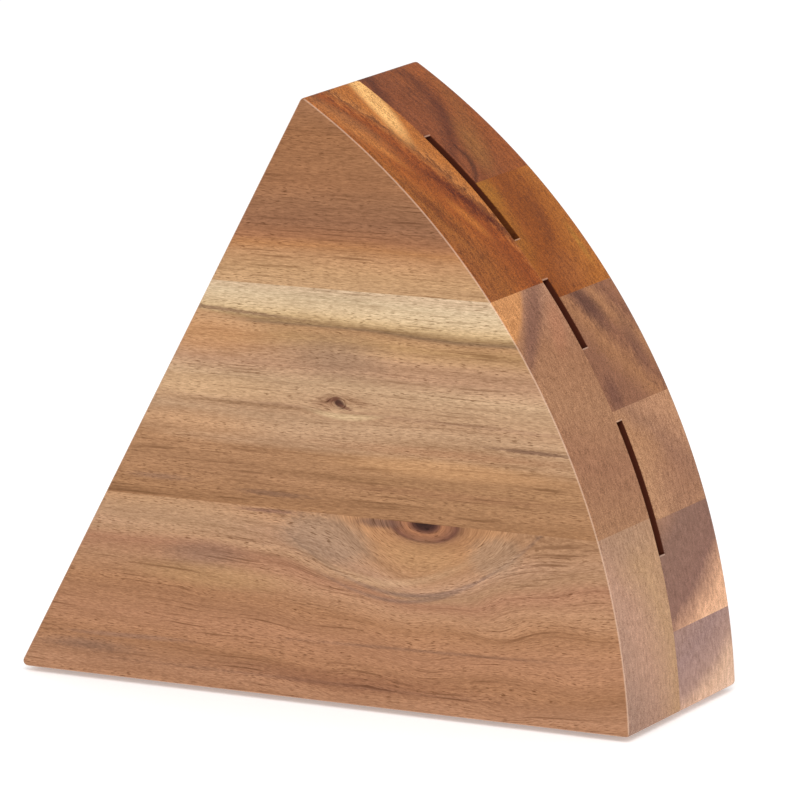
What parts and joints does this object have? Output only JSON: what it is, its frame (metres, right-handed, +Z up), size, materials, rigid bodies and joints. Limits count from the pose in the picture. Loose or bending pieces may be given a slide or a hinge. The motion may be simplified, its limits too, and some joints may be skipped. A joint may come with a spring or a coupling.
{
  "type": "knife block",
  "caption": "Upright knife block of glued acacia boards: a flat circular sector with knife slots opening on its curved face.",
  "frame": {"origin": "centre of the block's footprint, on the surface that its feet stand on", "axes": "+X along the base towards the curved face with the slots, +Y through the thickness from the wide boards to the staves, +Z up"},
  "size_m": [0.2682, 0.081, 0.2313],
  "materials": {
    "board_lower": "oiled satin acacia, tan brown with a dark knot",
    "board_middle": "oiled satin acacia, pinkish tan with a pale sapwood strip and a pin knot",
    "board_upper": "oiled satin acacia, mid brown with fine straight grain",
    "stave_1": "oiled satin acacia end grain, greyish purple brown to pale peach",
    "stave_2": "oiled satin acacia end grain, purple brown to pale peach",
    "stave_3": "oiled satin acacia end grain, light tan",
    "stave_4": "oiled satin acacia end grain, greyish brown",
    "stave_5": "oiled satin acacia end grain, orange brown",
    "stave_6": "oiled satin acacia end grain, dark orange brown with curved rings",
    "foot_rubber": "matte black rubber"
  },
  "bodies": {
    "root": {"side_board_lower": "board_lower", "side_board_middle": "board_middle", "side_board_upper": "board_upper", "slotted_stave_1": "stave_1", "slotted_stave_2": "stave_2", "slotted_stave_3": "stave_3", "slotted_stave_4": "stave_4", "slotted_stave_5": "stave_5", "slotted_stave_6": "stave_6", "foot_back_board_side": "foot_rubber", "foot_back_stave_side": "foot_rubber", "foot_front_board_side": "foot_rubber", "foot_front_stave_side": "foot_rubber"}
  },
  "joints": []
}
